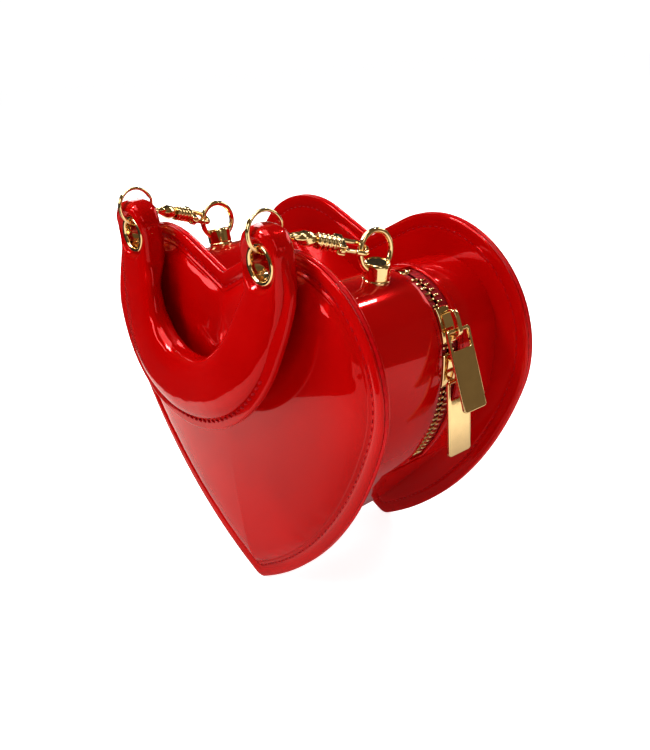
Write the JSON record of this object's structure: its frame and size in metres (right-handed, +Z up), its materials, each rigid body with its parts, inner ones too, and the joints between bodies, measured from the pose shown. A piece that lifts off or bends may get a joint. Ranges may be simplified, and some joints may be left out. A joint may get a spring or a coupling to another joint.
{
  "type": "heart shaped purse",
  "caption": "Heart shaped purse: padded patent panels with stitched rims, a deep side wall with a curved zip, and a rolled handle hung from studs by snap hooks.",
  "frame": {"origin": "centre of the flat crown of the back panel, level with the centres of the two lobes", "axes": "+Z up, +Y out of the back panel so the front faces -Y, +X to the zipped side"},
  "size_m": [0.2, 0.1222, 0.1908],
  "materials": {
    "patent": "high gloss patent",
    "board": "stiff fibre board",
    "foam": "soft padding",
    "lining": "matte woven",
    "tape": "woven tape",
    "gold": "polished pale gold",
    "steel": "plain"
  },
  "bodies": {
    "bag": {"back_lining": "lining", "back_panel_backing": "patent", "back_panel_board": "board", "back_panel_cover": "patent", "back_panel_foam": "foam", "front_lining": "lining", "front_panel_backing": "patent", "front_panel_board": "board", "front_panel_cover": "patent", "front_panel_foam": "foam", "gusset_back_lining": "lining", "gusset_back_strip": "patent", "gusset_front_lining": "lining", "gusset_front_strip": "patent", "gusset_main": "patent", "gusset_main_lining": "lining", "left_stud_post": "gold", "left_stud_screw": "steel", "left_stud_washer": "steel", "right_stud_post": "gold", "right_stud_screw": "steel", "right_stud_washer": "steel", "zip_bottom_tab": "patent", "zip_stops": "gold", "zip_tape_back": "tape", "zip_tape_front": "tape", "zip_teeth_back": "gold", "zip_teeth_front": "gold", "zip_top_tab": "patent"},
    "handle": {"handle_cover": "patent", "handle_core": "foam", "left_handle_eyelet": "gold", "left_eyelet_washer": "gold", "right_handle_eyelet": "gold", "right_eyelet_washer": "gold"},
    "upper_slider": {"upper_zip_slider": "gold"},
    "lower_slider": {"lower_zip_slider": "gold"},
    "upper_tab": {"upper_pull_tab": "gold"},
    "lower_tab": {"lower_pull_tab": "gold"},
    "left_ring_on_stud": {"left_stud_ring": "gold"},
    "left_clasp": {"left_clasp_hook": "gold", "left_clasp_gate_pin": "gold", "left_clasp_gate_spring": "steel"},
    "left_gate": {"left_clasp_gate": "gold"},
    "left_eye": {"left_clasp_swivel_eye": "gold"},
    "left_ring_on_handle": {"left_handle_ring": "gold"},
    "right_ring_on_stud": {"right_stud_ring": "gold"},
    "right_clasp": {"right_clasp_hook": "gold", "right_clasp_gate_pin": "gold", "right_clasp_gate_spring": "steel"},
    "right_gate": {"right_clasp_gate": "gold"},
    "right_eye": {"right_clasp_swivel_eye": "gold"},
    "right_ring_on_handle": {"right_handle_ring": "gold"}
  },
  "joints": [
    {"name": "left_stud_ring_turn", "type": "hinge", "parent": "bag", "child": "left_ring_on_stud", "pos_m": [-0.05907, -0.0605, 0.04676], "axis": [1, 0, 0], "continuous": true},
    {"name": "left_clasp_swing", "type": "hinge", "parent": "bag", "child": "left_clasp", "pos_m": [-0.05907, -0.0605, 0.04676], "axis": [-1, 0, 0], "range_deg": [0, 120]},
    {"name": "left_gate_open", "type": "hinge", "parent": "left_clasp", "child": "left_gate", "pos_m": [-0.05373, -0.07654, 0.05003], "axis": [0.4825, 0.3902, 0.7842], "range_deg": [0, 25], "stiffness_Nm_per_rad": 0.01, "springref_deg": -17.19},
    {"name": "left_eye_swivel", "type": "hinge", "parent": "left_clasp", "child": "left_eye", "pos_m": [-0.05907, -0.06859, 0.04936], "axis": [0.262, -0.9186, 0.2959], "range_deg": [0, 60]},
    {"name": "right_stud_ring_turn", "type": "hinge", "parent": "bag", "child": "right_ring_on_stud", "pos_m": [0.05907, -0.0605, 0.04676], "axis": [1, 0, 0], "continuous": true},
    {"name": "right_clasp_swing", "type": "hinge", "parent": "bag", "child": "right_clasp", "pos_m": [0.05907, -0.0605, 0.04676], "axis": [-1, 0, 0], "range_deg": [0, 120]},
    {"name": "right_gate_open", "type": "hinge", "parent": "right_clasp", "child": "right_gate", "pos_m": [0.05975, -0.07809, 0.05053], "axis": [0.4825, 0.1408, 0.8645], "range_deg": [0, 25], "stiffness_Nm_per_rad": 0.01, "springref_deg": -17.19},
    {"name": "right_eye_swivel", "type": "hinge", "parent": "right_clasp", "child": "right_eye", "pos_m": [0.05907, -0.06859, 0.04936], "axis": [-0.262, -0.9186, 0.2959], "range_deg": [0, 60]},
    {"name": "handle_swing", "type": "hinge", "parent": "left_clasp", "child": "handle", "pos_m": [0, -0.108, 0.06206], "axis": [-1, 0, 0], "range_deg": [0, 180]},
    {"name": "left_handle_ring_turn", "type": "hinge", "parent": "handle", "child": "left_ring_on_handle", "pos_m": [-0.05, -0.108, 0.06206], "axis": [1, 0, 0], "continuous": true},
    {"name": "right_handle_ring_turn", "type": "hinge", "parent": "handle", "child": "right_ring_on_handle", "pos_m": [0.05, -0.108, 0.06206], "axis": [1, 0, 0], "continuous": true},
    {"name": "upper_slider_run", "type": "hinge", "parent": "bag", "child": "upper_slider", "pos_m": [0.052, -0.041, 0.005], "axis": [0, -1, 0], "range_deg": [0, 42]},
    {"name": "lower_slider_run", "type": "hinge", "parent": "bag", "child": "lower_slider", "pos_m": [-0.006, -0.041, 0.005], "axis": [0, 1, 0], "range_deg": [0, 28]},
    {"name": "upper_tab_swing", "type": "hinge", "parent": "upper_slider", "child": "upper_tab", "pos_m": [0.08584, -0.041, 0.01352], "axis": [0, -1, 0], "range_deg": [0, 125]},
    {"name": "lower_tab_swing", "type": "hinge", "parent": "lower_slider", "child": "lower_tab", "pos_m": [0.08588, -0.041, -0.0087], "axis": [0, -1, 0], "range_deg": [0, 32]}
  ],
  "couplings": [
    {"joint": "right_clasp_swing", "follows": "left_clasp_swing", "ratio": 1}
  ]
}
